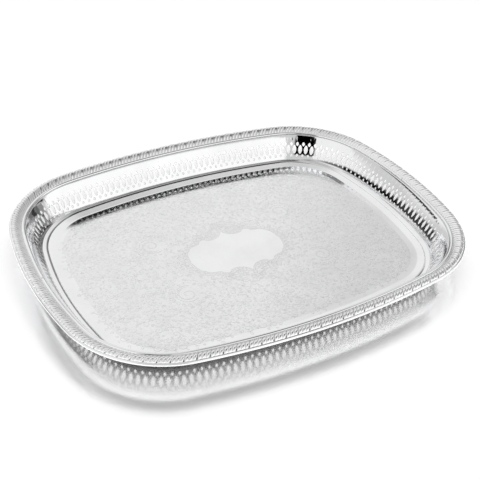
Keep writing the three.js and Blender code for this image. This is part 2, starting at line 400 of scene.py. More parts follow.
def wall_profile():
    """Distances down the slope, with the inset, level and lean of the inner face at each."""
    v = np.linspace(0, SLOPE_LENGTH, PROFILE_POINTS)
    lean = np.radians(np.interp(v, *zip(*FLARE)))
    step = v[1] - v[0]
    middle = (lean[1:] + lean[:-1]) / 2
    run = np.concatenate([[0], np.cumsum(np.sin(middle) * step)])
    fall = np.concatenate([[0], np.cumsum(np.cos(middle) * step)])
    run *= (FOOT_INSET - TOP_INSET) / run[-1]
    fall *= GALLERY_TOP / fall[-1]
    return v, TOP_INSET + run, GALLERY_TOP - fall, np.arctan2(np.gradient(run), np.gradient(fall))


PROFILE = wall_profile()


def wall_point(v, depth):
    """Inset and level of a point at v down the slope and depth into the sheet."""
    at, insets, levels, leans = PROFILE
    lean = np.interp(v, at, leans)
    back = depth * THICKNESS
    inset = np.interp(v, at, insets) - back * np.cos(lean)
    return inset, np.interp(v, at, levels) - back * np.sin(lean)


def signed_power(value, power):
    return math.copysign(abs(value) ** power, value)


def hole_outline(hole, grow, half=False):
    """Points (across in mm, down the slope) of a hole's outline, or of one half, from its top."""
    a = hole["width"] / 2 + grow
    b = hole["height"] / 2 + grow
    power = 2 / hole["power"]
    turn, count = (math.pi, HOLE_POINTS // 2) if half else (2 * math.pi, HOLE_POINTS)
    out = []
    for i in range(count + half):
        angle = turn * i / count
        across = math.sin(angle)
        # The points at the hole's top and foot lie exactly on its middle line.
        across = across if abs(across) > 1e-9 else 0.0
        down = -math.cos(angle)
        out.append((signed_power(across, power) * a, hole["down"] + signed_power(down, power) * b))
    return out


def clear_of(hole, x, v, grow):
    """Whether a point lies outside a hole that is grown by a margin."""
    a = hole["width"] / 2 + grow
    b = hole["height"] / 2 + grow
    p = hole["power"]
    return (abs(x) / a) ** p + (abs(v - hole["down"]) / b) ** p > 1.0


def cell_skin(pitch, grow):
    """Triangulates one pitch of the wall between its holes: points (across, down), triangles."""
    half = pitch / 2
    left = [(-half, CELL_TOP)]
    for hole in (UPPER, LOWER):
        left += [(x - half, v) for x, v in hole_outline(hole, grow, True)]
        gap_end = LOWER["down"] - LOWER["height"] / 2 - grow if hole is UPPER else CELL_FOOT
        begin = hole["down"] + hole["height"] / 2 + grow
        left += [(-half, begin + (gap_end - begin) * t) for t in (0.33, 0.66)]
    left.append((-half, CELL_FOOT))
    across = [half * (2 * i / COLUMNS - 1) for i in range(1, COLUMNS)]
    loop = left + [(x, CELL_FOOT) for x in across] + [(-x, v) for x, v in reversed(left)]
    loop += [(x, CELL_TOP) for x in reversed(across)]
    ring = hole_outline(OVAL, grow)
    points = [Vector(p) for p in loop + ring]
    n, m = len(loop), len(ring)
    edges = [(n + i, n + (i + 1) % m) for i in range(m)]
    for i in range(1, SKIN_COLUMNS):
        for j in range(1, SKIN_ROWS):
            x = half * (2 * i / SKIN_COLUMNS - 1)
            v = CELL_TOP + (CELL_FOOT - CELL_TOP) * j / SKIN_ROWS
            if all(clear_of(h, x + off * half, v, grow + SKIN_GAP) for h, off in CELL_HOLES):
                points.append(Vector((x, v)))
    made, _, faces, *_ = delaunay_2d_cdt(points, edges, [list(range(n))], 1, 1e-5)
    kept = []
    for face in faces:
        x = sum(made[i].x for i in face) / 3
        v = sum(made[i].y for i in face) / 3
        if clear_of(OVAL, x, v, grow):
            kept.append(list(face))
    return [(p.x, p.y) for p in made], kept


def ring_band(outline_of, closed):
    """A hole's edge: the (across, down, depth) points of its rings, and quads that join them."""
    rings = [[(x, v, depth) for x, v in outline_of(grow)] for grow, depth in EDGE_RINGS]
    return sum(rings, []), grid_faces(len(rings), len(rings[0]), closed)


def gallery_cell(pitch):
    """One pitch of the pierced wall, as (across, down, depth) points and faces."""
    points, faces = [], []

    def take(new_points, new_faces, flip=False):
        base = len(points)
        points.extend(new_points)
        faces.extend([[base + i for i in (reversed(f) if flip else f)] for f in new_faces])

    skin, triangles = cell_skin(pitch, EDGE_RINGS[0][0])
    take([(x, v, 0.0) for x, v in skin], triangles)
    take([(x, v, 1.0) for x, v in skin], triangles, True)
    take(*ring_band(lambda grow: hole_outline(OVAL, grow), True))
    for hole in (UPPER, LOWER):
        for side in (-1, 1):

            def half_outline(grow, hole=hole, side=side):
                return [(side * (pitch / 2 - x), v) for x, v in hole_outline(hole, grow, True)]

            take(*ring_band(half_outline, False), side > 0)
    return np.array(points), faces


def gallery_length(kind, index):
    """One length of the gallery, its flange and its foot: points, faces, darkness."""
    count = PITCHES[kind]
    radius = _r[index]
    pierced_radius = radius - wall_point(OVAL["down"], 0)[0]
    turn = _a1[index] - _a0[index]
    pitch = turn * pierced_radius / count
    cell, cell_faces = gallery_cell(pitch)
    step = turn / count
    points, faces = [], []
    inset, level = wall_point(cell[:, 1], cell[:, 2])
    reach = radius - inset
    for i in range(count):
        angle = _a0[index] + (i + 0.5 + cell[:, 0] / pitch) * step
        x = _cx[index] + reach * np.cos(angle)
        y = _cy[index] + reach * np.sin(angle)
        points.append(np.stack([x, y, level], -1))
        faces += [[i * len(cell) + k for k in f] for f in cell_faces]
    angles = _a0[index] + np.arange(count * COLUMNS + 1) / COLUMNS * step
    s = _starts[index] + (angles - _a0[index]) * radius
    # The last points have to stay on this arc.
    s[-1] -= 1e-6
    for section in (flange_section(), foot_section()):
        new_points, new_faces = swept(section, s, closed=False)
        base = sum(len(p) for p in points)
        points.append(new_points)
        faces += [[base + k for k in f] for f in new_faces]
    foot_from = base
    points = np.concatenate(points)
    # Painted shade: the groove beside the bead, the walls of the holes and the outer face, darker
    # towards its foot, with painted dark reflections and shade low on the inner face.
    dull = bead_groove_shade(points, index)
    down, depth = np.tile(cell[:, 1], count), np.tile(cell[:, 2], count)
    low, high = OUTER_SHADE
    outer = low + (high - low) * np.clip(down / (OUTER_SHADE_REACH * SLOPE_LENGTH), 0, 1)
    inner = painted_wall_shade(points[: len(down)], index, down)
    inner = np.where(depth > 0.1, np.maximum(inner, HOLE_WALL_SHADE), inner)
    dull[: len(down)] = np.where(depth > 0.9, outer, inner)
    # Painted shadow: the foot, where the wall stands on the base, is black.
    dull[foot_from:] = 1.0
    return points, faces, dull


def painted_wall_shade(points, index, down):
    """Painted dark reflections and shade on the wall's inner face, 0 to 1."""
    angle = np.arctan2(points[:, 1] - _cy[index], points[:, 0] - _cx[index]) - _a0[index]
    angle = np.mod(angle, 2 * math.pi)
    # An angle just below a full turn belongs to a point just before the arc's start.
    s = _starts[index] + np.where(angle > math.pi * 1.5, 0, angle) * _r[index]
    s -= PERIMETER * (index == len(ARCS) - 1)
    out = np.zeros(len(points))
    for first, lead, last, tail, upper, lower, strength in WALL_PAINTED_SHADE:
        begin = _starts[first] + lead * _lengths[first]
        end = _starts[last] + (tail * _lengths[last] if last < len(ARCS) else 0)
        reach = np.clip(np.minimum(s - begin, end - s) / WALL_SHADE_EASE + 1, 0, 1)
        reach = 1.0 if end - begin >= PERIMETER else reach
        t = np.clip((s - begin) / (end - begin), 0, 1) ** WALL_SHADE_FALL
        band = np.clip((down - upper[0] - (upper[1] - upper[0]) * t) / WALL_SHADE_UPPER_EASE, 0, 1)
        band *= np.clip((lower[0] + (lower[1] - lower[0]) * t - down) / WALL_SHADE_LOWER_EASE, 0, 1)
        out = np.maximum(out, strength * reach * band)
    return out


def bead_groove_shade(points, index):
    """How far each point of a gallery length lies in the groove beside the bead, 0 to 1: painted
    shade.
    """
    inset = _r[index] - np.hypot(points[:, 0] - _cx[index], points[:, 1] - _cy[index])
    across = np.clip(1.3 - np.abs(inset - GROOVE_INSET) / GROOVE_HALF_WIDTH, 0, 1)
    return across * (points[:, 2] > GROOVE_FOOT)


def flange_section():
    """From the wall's inner face, over the bend and along the flange, and back beneath it."""
    # Each pair ends in a drop from the flange's top. The bend and groove begin with a distance
    # outwards from the wall's top, the flange's edge with an inset, and the last three with a
    # distance outwards from the wall's outer face.
    bend = [(0.05, 0.03), (0.22, 0.06), (0.34, 0.35), (0.5, 0.6), (0.85, 0.6), (1.0, 0.0)]
    edge = [(3.2, 0.0), (2.85, 0.1), (2.72, 0.35), (2.72, 0.7), (2.9, 0.95), (3.3, 1.0)]
    beneath = [(2.4, 1.0), (1.1, 1.06), (0.4, 1.3)]
    outer = wall_point(CELL_TOP, 1)
    out = [wall_point(v, 0) for v in (CELL_TOP, 0.9, 0.5, 0.2)]
    out += [(TOP_INSET - outwards, GALLERY_TOP - drop) for outwards, drop in bend]
    out += [(inset, GALLERY_TOP - drop) for inset, drop in edge]
    out += [(outer[0] - outwards, GALLERY_TOP - drop) for outwards, drop in beneath]
    return [*out, outer]


def foot_section():
    """From the wall's inner face, under its foot and up to its outer face."""
    inner, outer = wall_point(CELL_FOOT, 0), wall_point(CELL_FOOT, 1)
    under = [(FOOT_INSET - 0.15, 0.12), (FOOT_INSET - 0.35, 0.0)]
    return [inner, *under, (outer[0] + 0.6, 0.0), (outer[0] + 0.25, 0.1), outer]


for index, (name, kind, *_rest) in enumerate(ARCS):
    points, faces, dull = gallery_length(kind, index)
    name, nodes = "pierced_gallery_" + name, ["gallery_" + name]
    add_mesh(name, points, faces, [WALL], nodes, values=dull, weld=WELD)


# ---- Gadroon mounts: slanted lobes in threes, the outer lip notched between the threes ----

LOBES = 3
LOBE_SAMPLES = 10
MOUNT_ROWS = 26
SLANT = math.tan(math.radians(30))
# Insets of the mount's outer lip, crown and inner edge, and levels of the lip and inner edge.
LIP_INSET, CROWN, MOUNT_INNER = 1.8, 4.7, 10.8
LIP_LEVEL, MOUNT_INNER_LEVEL = 28.95, 27.1
NOTCH_HALF_WIDTH, NOTCH_DEPTH, NOTCH_DROP = 0.8, 1.5, 0.5
GROOVE_DEPTH = 0.6
# How dark the grooves and the lines between the threes are, and the painted shade on the lip's
# underside and at the foot of the inner edge.
GROOVE_DULL = 0.8
SEAM_DULL = 0.95
LIP_UNDERSIDE_SHADE = (0.75, 0.6, 0.2, 0.0)
MOUNT_INNER_SHADE = 0.2


def mount_length(index, kind):
    """One length of the gadroon mount: points, faces, darkness."""
    units = UNITS[kind]
    unit = _lengths[index] / units
    per_unit = LOBES * LOBE_SAMPLES
    phase = np.arange(units * per_unit + 1) / per_unit
    lobe = np.mod(phase * LOBES, 1.0)
    edge = 2 * np.abs(lobe - 0.5)
    groove = 1 - np.sqrt(np.clip(1 - 0.985 * edge**2, 0, 1))
    near = np.minimum(np.mod(phase, 1.0), 1 - np.mod(phase, 1.0)) * unit
    notch = np.clip(1 - near / NOTCH_HALF_WIDTH, 0, 1)
    lip = LIP_INSET + NOTCH_DEPTH * notch - 0.35 * (1 - groove)
    inner = MOUNT_INNER + 0.25 - 0.55 * groove

    # Across the lobes: u runs from the lip to the inner edge, with rows closer at both.
    u = (1 - np.cos(np.linspace(0, math.pi, MOUNT_ROWS))) / 2
    u = 0.35 * u + 0.65 * np.linspace(0, 1, MOUNT_ROWS)
    inset = lip[:, None] + (inner - lip)[:, None] * u
    crown = (CROWN - LIP_INSET) / (MOUNT_INNER - LIP_INSET)
    rise = np.clip(1 - (1 - u / crown) ** 2, 0, 1) ** 0.5
    fall = 1 - np.clip((u - crown) / (1 - crown), 0, 1) ** 1.7
    outer_body = LIP_LEVEL + (MOUNT_TOP - LIP_LEVEL) * rise
    inner_body = MOUNT_INNER_LEVEL + (MOUNT_TOP - MOUNT_INNER_LEVEL) * fall
    window = np.clip(u / 0.1, 0.55, 1) * np.clip((1 - u) / 0.12, 0.35, 1)
    level = np.where(u < crown, outer_body, inner_body) - GROOVE_DEPTH * groove[:, None] * window
    level -= NOTCH_DROP * (notch**0.8)[:, None] * np.clip(1 - u / 0.3, 0, 1)
    level = np.maximum(level, GALLERY_TOP + 0.4)

    darkening = GROOVE_DULL * np.clip(groove**1.4, 0, 1)[:, None] * window
    seam = np.clip(1.4 - near / 0.6, 0, 1)[:, None] * np.clip(1.6 - np.abs(u - 0.55) / 0.22, 0, 1)
    darkening = np.maximum(darkening, SEAM_DULL * seam)
    darkening = np.maximum(darkening, notch[:, None] * np.clip(1 - u / 0.18, 0, 1))

    # The lip turns under on to the flange, and the inner edge drops to it.
    lip_levels = (GALLERY_TOP + 0.05, 28.35, 28.45, 28.7)
    foot_levels = (26.9, 26.6, GALLERY_TOP + 0.02)
    outer_x = np.stack([np.maximum(3.3, lip + 0.8), lip + 0.75, lip + 0.2, lip + 0.02], 1)
    outer_z = np.stack([np.full_like(lip, v) for v in lip_levels], 1)
    inner_x = np.stack([inner + 0.1, inner + 0.1, inner - 0.6], 1)
    inner_z = np.stack([np.full_like(lip, v) for v in foot_levels], 1)
    inset = np.concatenate([outer_x, inset, inner_x], 1)
    level = np.concatenate([outer_z, level, inner_z], 1)
    # Painted shade on the lip's underside and at the foot of the inner edge.
    lip_shade = np.full_like(outer_x, 1.0) * LIP_UNDERSIDE_SHADE
    dull = np.concatenate([lip_shade, darkening, np.full_like(inner_x, MOUNT_INNER_SHADE)], 1)
    s = _starts[index] + phase[:, None] * unit + (inset - LIP_INSET) * SLANT
    points = np.stack([*plan(s, inset), level], -1).reshape(-1, 3)
    return points, grid_faces(*inset.shape), dull.reshape(-1)


for index, (name, kind, *_rest) in enumerate(ARCS):
    points, faces, dull = mount_length(index, kind)
    nodes = ["gadroon_mount_" + name]
    add_mesh("gadroon_" + name, points, faces, [GADROON], nodes, values=dull)


# ---- Wires ----

BEAD_INSET, BEAD_RADIUS, BEAD_FOOT = 12.7, 1.75, 1.5
ROLL_RADIUS = 1.6
WIRE_STEP, WIRE_END_GAP = 1.2, 0.05


def half_loop(side):
    """Distances along the edge from the middle of one end to the middle of the other."""
    right_middle = _lengths[0] / 2
    left_middle = _starts[4] + _lengths[4] / 2
    start, end = right_middle, left_middle
    if side == "front":
        start, end = left_middle, PERIMETER + right_middle
    count = int((end - start) / WIRE_STEP)
    return np.linspace(start + WIRE_END_GAP, end - WIRE_END_GAP, count)


def round_section(inset, level, radius, angles):
    return np.stack([inset - radius * np.cos(angles), level + radius * np.sin(angles)], -1)


for side in ("back", "front"):
    s = half_loop(side)
    round_about = 2 * math.pi * np.arange(16) / 16
    roll = round_section(ROLL_RADIUS, EDGE_WIRE_LEVEL, ROLL_RADIUS, round_about)
    points, faces = swept(roll, s)
    add_mesh("rolled_edge_" + side, points, faces, [PLAIN], ["edge_wire_" + side])
    bead = round_section(BEAD_INSET, GALLERY_TOP + 0.1, BEAD_RADIUS, math.pi * np.arange(15) / 14)
    foot = [(BEAD_INSET + x, GALLERY_TOP + 0.02) for x in (BEAD_FOOT, -BEAD_FOOT)]
    points, faces = swept(np.concatenate([bead, foot]), s)
    add_mesh("half_round_" + side, points, faces, [PLAIN], ["bead_wire_" + side])


# ---- Base plate: lip, cove, plain margin, engraved field and cartouche ----

UNDER_INSET = 32.0
JOINT_INSET = 33.0
COVE_EASE_INSET = 40.0
COVE_FOOT_INSET = 41.8
FIELD_INSET = 55.0
EDGE_POINTS, COVE_POINTS, CHANNEL_POINTS = 620, 16, 18
COVE_SLOPE, CHANNEL_DROP = 0.19, 0.21
# Points of the channel, from the cove's foot, that stay plain.
PLAIN_CHANNEL = 6
# Painted shade: how dark the first points of the section are, under the lip, and the points about
# the joint. The joint's painted shade grows bright towards the right-hand end: it is dark up to
# JOINT_DARK_TO in x.
LIP_FOOT_SHADE = (1.0, 1.0, 0.9)
JOINT_SHADE = (0.5, 0.85, 0.9, 0.6)
JOINT_DARK_TO, JOINT_FADE, JOINT_LEAST = 135, 30, 0.12
# A dark reflection painted in the channel along the back: depth of tone at distances s along the
# edge. It lies between two insets. Its inner side is ragged, and stands further in up to WIDE_TO.
CHANNEL_PAINTED_REFLECTION = [
    (124, 0.0), (135, 0.8), (170, 0.8), (184, 0.35), (236, 0.45),
    (246, 0.86), (470, 0.86), (484, 0.98), (519, 0.9), (560, 0.0),
]
CHANNEL_REFLECTION_FROM, CHANNEL_REFLECTION_TO, CHANNEL_REFLECTION_SOFT = 41.0, 46.3, 0.7
WIDER_BY, WIDE_TO, WIDE_FADE = 2.5, 165, 20
# Middle of the plain cartouche.
CARTOUCHE = (-3.8, -3.8)
# One quarter of its outline, from its end to the peak in the middle of its side.
CARTOUCHE_QUARTER = [
    (48.2, 0), (47.2, 2.5), (46.8, 6.5), (45.6, 11.5), (43.4, 15.5), (41.2, 17.0),
    (39.6, 19.6), (36.0, 21.6), (31.0, 22.4), (28.2, 23.4), (26.4, 26.2), (23.4, 27.8),
    (20.6, 27.0), (18.8, 24.6), (14.5, 23.8), (10.0, 24.2), (6.8, 26.0), (4.2, 27.4),
    (1.8, 29.6), (0, 33),
]


def cartouche(grow=0.0, count=240):
    """The outline of the plain cartouche, as evenly spaced points (x, y)."""
    quarter = np.array(CARTOUCHE_QUARTER)
    upper = np.concatenate([quarter, quarter[-2::-1] * (-1, 1)])
    loop = np.concatenate([upper, upper[-2:0:-1] * (1, -1), upper[:1]])
    length = np.concatenate([[0], np.cumsum(np.linalg.norm(np.diff(loop, axis=0), axis=1))])
    even = np.linspace(0, length[-1], count, endpoint=False)
    path = np.stack([np.interp(even, length, loop[:, i]) for i in (0, 1)], -1)
    tangent = np.roll(path, -2, 0) - np.roll(path, 2, 0)
    tangent /= np.linalg.norm(tangent, axis=1)[:, None]
    path = path + grow * np.stack([tangent[:, 1], -tangent[:, 0]], -1)
    return path + CARTOUCHE


def field_level(inset):
    """Level of the field and of the shallow channel round it."""
    t = np.clip((FIELD_INSET - np.asarray(inset, float)) / (FIELD_INSET - COVE_FOOT_INSET), 0, 1)
    return FIELD_LEVEL - CHANNEL_DROP * (1 - np.cos(math.pi * t)) / 2


def cove_rise(inset):
    """Height of the cove above its foot: an even slope that eases out towards the foot."""
    ease = COVE_FOOT_INSET - COVE_EASE_INSET
    into = min(COVE_FOOT_INSET - inset, ease)
    return COVE_SLOPE * (into * into / (2 * ease) + max(COVE_EASE_INSET - inset, 0))


def within(points, loop):
    """Which points lie inside a closed loop."""
    x, y = points[:, 0, None], points[:, 1, None]
    ax, ay = loop[:, 0], loop[:, 1]
    bx, by = np.roll(ax, -1), np.roll(ay, -1)
    crosses = (ay > y) != (by > y)
    at = ax + (y - ay) * (bx - ax) / np.where(by == ay, 1e-9, by - ay)
    return (np.sum(crosses & (x < at), axis=1) % 2) == 1


def base_section():
    """(inset, level) points from the lip's foot to the field, with where the joint and the
    engraving begin among them."""
    top = BASE_LIP_TOP
    section = [(31.0, 0.25), (29.2, 1.0), (28.75, 1.6), (28.6, top - 0.1), (28.7, top)]
    section += [(29.3, top - 0.1), (30.2, top - 0.42), (31.2, top - 0.72)]
    section.append((JOINT_INSET - 0.9, top - 0.88))
    joint = len(section) - 1
    section += [(JOINT_INSET - 0.5, top - 1.3), (JOINT_INSET, top - 1.4)]
    section.append((JOINT_INSET + 0.5, top - 1.35))
    foot = float(field_level(COVE_FOOT_INSET))
    start = JOINT_INSET + 0.7
    for i in range(COVE_POINTS + 1):
        inset = start + (COVE_FOOT_INSET - start) * i / COVE_POINTS
        section.append((inset, foot + cove_rise(inset)))
    engraved_from = len(section) + PLAIN_CHANNEL
    for i in range(1, CHANNEL_POINTS + 1):
        inset = COVE_FOOT_INSET + (FIELD_INSET - COVE_FOOT_INSET) * i / CHANNEL_POINTS
        section.append((inset, float(field_level(inset))))
    return np.array(section), joint, engraved_from


def base_painted_shade(insets, joint, s, x):
    """Painted shade at the lip's foot and joint, painted dark reflection in the channel."""
    dull = np.zeros(x.shape)
    dull[:, : len(LIP_FOOT_SHADE)] = LIP_FOOT_SHADE
    rows = slice(joint, joint + len(JOINT_SHADE))
    reach = JOINT_DARK_TO + JOINT_FADE
    dull[:, rows] = JOINT_SHADE * np.clip((reach - x[:, rows]) / JOINT_FADE, JOINT_LEAST, 1)
    tone = np.interp(s, *zip(*CHANNEL_PAINTED_REFLECTION))
    edge = CHANNEL_REFLECTION_TO + 0.5 * np.sin(0.9 * s) + 0.35 * np.sin(2.3 * s + 1)
    edge = edge + WIDER_BY * np.clip((WIDE_TO + WIDE_FADE - s) / WIDE_FADE, 0, 1)
    for row, inset in enumerate(insets):
        if CHANNEL_REFLECTION_FROM < inset < FIELD_INSET:
            begun = np.clip((inset - CHANNEL_REFLECTION_FROM) / CHANNEL_REFLECTION_SOFT, 0, 1)
            dull[:, row] = tone * (begun * np.clip((edge - inset) / CHANNEL_REFLECTION_SOFT, 0, 1))
    return dull


def base_plate():
    """The whole base: points, faces, each face's material and each point's darkness."""
    section, joint, engraved_from = base_section()
    s = np.linspace(0, PERIMETER, EDGE_POINTS, endpoint=False)
    flat, faces = swept(section, s, closed=False)
    columns = len(section)
    last = (EDGE_POINTS - 1) * columns
    faces += [[last + j, last + j + 1, j + 1, j] for j in range(columns - 1)]
    indices = [int(j >= engraved_from) for j in range(columns - 1)] * EDGE_POINTS

    # The field, triangulated with the cartouche's outline in it.
    rim = [i * columns + columns - 1 for i in range(EDGE_POINTS)]
    inner = cartouche()
    n, m = len(rim), len(inner)
    outline = [Vector(flat[i][:2]) for i in rim] + [Vector(p) for p in inner]
    edges = [(n + i, n + (i + 1) % m) for i in range(m)]
    made, _, triangles, origin, *_ = delaunay_2d_cdt(outline, edges, [list(range(n))], 1, 1e-6)
    where = []
    extra = []
    for k, p in enumerate(made):
        source = [i for i in origin[k] if i < n]
        if source:
            where.append(rim[source[0]])
        else:
            where.append(len(flat) + len(extra))
            extra.append((p.x, p.y, FIELD_LEVEL))
    middles = np.array([[sum(made[i][axis] for i in t) / 3 for axis in (0, 1)] for t in triangles])
    faces += [[where[i] for i in t] for t in triangles]
    indices += np.where(within(middles, inner), 2, 1).tolist()

    # The flat underside, joined to the lip's foot.
    bottom = len(flat) + len(extra)
    x_under, y_under = plan(s, np.full(EDGE_POINTS, UNDER_INSET))
    under = np.stack([x_under, y_under, np.zeros(EDGE_POINTS)], -1)
    for i in range(EDGE_POINTS):
        j = (i + 1) % EDGE_POINTS
        faces.append([bottom + i, bottom + j, j * columns, i * columns])
    faces.append([bottom + i for i in reversed(range(EDGE_POINTS))])
    indices += [0] * (EDGE_POINTS + 1)
    points = np.concatenate([flat, np.array(extra), under])
    dull = np.zeros(len(points))
    x = flat[:, 0].reshape(EDGE_POINTS, columns)
    # Painted shade under the lip and at the joint, and a painted dark reflection in the channel.
    dull[: len(flat)] = base_painted_shade(section[:, 0], joint, s, x).reshape(-1)
    return points, faces, indices, dull


points, faces, indices, dull = base_plate()
finishes = [BASE, ENGRAVED, PLAIN]
add_mesh("engraved_base", points, faces, finishes, ["base_plate"], indices, dull)


# ---- Engraving: curling foliage over the field, and a wreath of scrolls round the cartouche ----

# Across a cut: shares of its width, heights above the field, and how dark its middle is.
RIDGE = [(-0.5, -0.02), (0.0, 0.07), (0.5, -0.02)]
CREST_DULL = 0.15
# How dark a cut's sides are.
FOLIAGE_FLANK, WREATH_FLANK = 0.9, 1.0
FOLIAGE_SEED, FOLIAGE_TRIES = 7, 9000
FOLIAGE_GAP = 9.4
FOLIAGE_INSET = 47
# Middles of the wreath's four big scrolls from the cartouche's, and how far foliage keeps off.
BIG_SCROLL = (71, 40)
BIG_SCROLL_ROOM, CARTOUCHE_ROOM = 15, 7.0
# Which way each quarter of the field lies.
QUARTERS = ((1, 1), (-1, 1), (1, -1), (-1, -1))


def inset_of(xy):
    """Inset of points inside the plan."""
    best = np.full(len(xy), 1e9)
    for k in range(len(ARCS)):
        dx, dy = xy[:, 0] - _cx[k], xy[:, 1] - _cy[k]
        angle = np.mod(np.arctan2(dy, dx) - _a0[k], 2 * math.pi)
        here = angle <= _a1[k] - _a0[k]
        best = np.where(here, np.minimum(best, _r[k] - np.hypot(dx, dy)), best)
    return best


def around(centre, reach, angle):
    """Points at a distance from a centre in the directions given."""
    return np.stack([centre[0] + reach * np.cos(angle), centre[1] + reach * np.sin(angle)], -1)


class Engraver:
    """Collects fine tapering ridges on the field."""

    def __init__(self):
        self.points = []
        self.faces = []
        self.dull = []
        self.count = 0
        self.flank = WREATH_FLANK

    def stroke(self, path, wide, narrow=None, closed=False):
        """One cut along a path, from its wide end to its narrow end, or closed and even."""
        path = np.asarray(path, float)
        n = len(path)
        narrow = wide if narrow is None else narrow
        if closed:
            tangent = np.roll(path, -1, 0) - np.roll(path, 1, 0)
            width = np.full(n, wide)
        else:
            tangent = np.gradient(path, axis=0)
            t = np.linspace(0, 1, n)
            width = (wide + (narrow - wide) * t) * np.clip(np.minimum(t, 1 - t) * 8 + 0.25, 0, 1)
        tangent /= np.linalg.norm(tangent, axis=1)[:, None] + 1e-9
        normal = np.stack([-tangent[:, 1], tangent[:, 0]], -1)
        for across, height in RIDGE:
            xy = path + normal * (width * across)[:, None]
            self.points.append(np.column_stack([xy, field_level(inset_of(xy)) + height]))
            self.dull.append(np.full(n, self.flank if across else CREST_DULL))
        last = n if closed else n - 1
        for j in range(2):
            a, b = self.count + j * n, self.count + (j + 1) * n
            self.faces += [[a + i, a + (i + 1) % n, b + (i + 1) % n, b + i] for i in range(last)]
        self.count += n * 3

    def spiral(self, centre, radius, start, turn, wide, end=0.16):
        """A scroll that winds inwards from the given angle."""
        n = max(12, int(abs(turn) * radius * 0.62 / 0.8))
        t = np.linspace(0, 1, n)
        reach = radius * (1 - (1 - end) * t**0.85)
        self.stroke(around(centre, reach, start + turn * t), wide, wide * 0.6)

    def leaf(self, root, angle, length, bend, wide):
        """Two curved edges from root to a pointed tip."""
        t = np.linspace(0, 1, max(5, int(length / 0.8)))
        for side in (-1, 1):
            across = side * 0.26 * length * np.sin(math.pi * t) ** 0.8 + bend * length * t * t
            x = root[0] + length * t * math.cos(angle) - across * math.sin(angle)
            y = root[1] + length * t * math.sin(angle) + across * math.cos(angle)
            self.stroke(np.stack([x, y], -1), wide, wide * 0.6)


BIG_SCROLLS = np.array(CARTOUCHE) + np.array(QUARTERS) * BIG_SCROLL
NO_FOLIAGE = cartouche(CARTOUCHE_ROOM, 90)


def blocked(spot):
    """Whether the wreath or the cartouche leaves no room for foliage here."""
    near = np.min(np.hypot(*(BIG_SCROLLS - spot).T))
    return near < BIG_SCROLL_ROOM or bool(within(np.array([spot]), NO_FOLIAGE)[0])


def foliage(e):
    """Small curling stems with leaves on one quarter of the field, mirrored to the others."""
    rng = np.random.default_rng(FOLIAGE_SEED)
    quarters = np.array(QUARTERS)
    kept = np.empty((0, 2))
    for _ in range(FOLIAGE_TRIES):
        spot = rng.uniform((0.5, 0.5), (HALF_LENGTH - 45, HALF_WIDTH - 45))
        size = rng.uniform(0.8, 1.25)
        if len(kept) and np.min(np.hypot(*(kept - spot).T)) < FOLIAGE_GAP * size:
            continue
        corners = CARTOUCHE + spot * quarters
        if inset_of(corners).min() < FOLIAGE_INSET or any(blocked(c) for c in corners):
            continue
        kept = np.concatenate([kept, [spot]])
    for spot in kept:
        radius = rng.uniform(0.4, 0.52) * FOLIAGE_GAP
        start = rng.uniform(0, 2 * math.pi)
        turn = rng.choice((-1, 1)) * rng.uniform(6.5, 9.0)
        leaves = []
        for j in range(4):
            angle = start + (rng.uniform(0.2, 1.0) + j * 1.55)
            leaves.append((angle, rng.uniform(2.6, 4.2), rng.uniform(-0.3, 0.3)))
        for sx, sy in QUARTERS:
            hand = sx * sy

            def mirrored(angle, sx=sx, sy=sy):
                return math.atan2(sy * math.sin(angle), sx * math.cos(angle))

            at = CARTOUCHE + spot * (sx, sy)
            e.spiral(at, radius, mirrored(start), hand * turn, 0.9)
            for angle, length, bend in leaves:
                root = around(at, radius * 1.05, mirrored(angle))
                e.leaf(root, mirrored(angle + 0.6), length, hand * bend, 0.7)


def cartouche_wreath(e):
    """Borders, scallops and large scrolls round the plain cartouche."""
    middle_x, middle_y = CARTOUCHE
    e.stroke(cartouche(0.6, 360), 0.95, closed=True)
    e.stroke(cartouche(2.3, 360), 0.75, closed=True)
    for i, point in enumerate(cartouche(3.0, 64)):
        outwards = point - CARTOUCHE
        angle = math.atan2(outwards[1] * 2.2, outwards[0])
        e.stroke(around(point, 2.3, np.linspace(-1.9, 1.9, 11) + angle), 0.8)
        if i % 2 == 0:
            e.leaf(around(point, 2.2, angle), angle, 6.0, 0.15, 0.8)
    for sx in (-1, 1):
        for sy in (-1, 1):
            hand = sx * sy
            big = (middle_x + sx * BIG_SCROLL[0], middle_y + sy * BIG_SCROLL[1])
            e.spiral(big, 10.5, math.atan2(-sy, -sx) + hand * 0.4, hand * 9.5, 1.4)
            e.spiral(big, 12.6, math.atan2(-sy, -sx) + hand * 0.2, hand * 4.4, 1.0, 0.8)
            for j in range(9):
                a = math.atan2(sy, sx) + (j - 4) * 0.36
                e.leaf(around(big, 13.2, a), a + hand * 0.5, 5.5, hand * 0.3, 0.9)
            small = (middle_x + sx * 12.5, middle_y + sy * 33.5)
            beside = (small[0] + sx * 13, small[1] + sy * 1.5)
            e.spiral(small, 5.2, math.pi / 2 * sy + hand * 1.2, -hand * 9.0, 1.2)
            e.spiral(beside, 4.4, -math.pi / 2 * sy, hand * 8.0, 1.1)
            for j in range(5):
                a = math.pi / 2 * sy - hand * (0.5 + 0.3 * j)
                e.leaf(around(small, 6.5, a), a, 6.0, 0.2 * sx, 0.85)
    for sy in (-1, 1):
        for j in range(-3, 4):
            a = math.pi / 2 * sy + j * 0.3
            root = around((middle_x, middle_y + sy * 36), 4, a)
            e.leaf(root, a, 9.0 - abs(j), 0.1 * j, 0.9)


engraver = Engraver()
engraver.flank = FOLIAGE_FLANK
foliage(engraver)
engraver.flank = WREATH_FLANK
cartouche_wreath(engraver)
points, dull = np.concatenate(engraver.points), np.concatenate(engraver.dull)
add_mesh("scroll_engraving", points, engraver.faces, [CUTS], values=dull)


# ---- Light, floor and camera ----


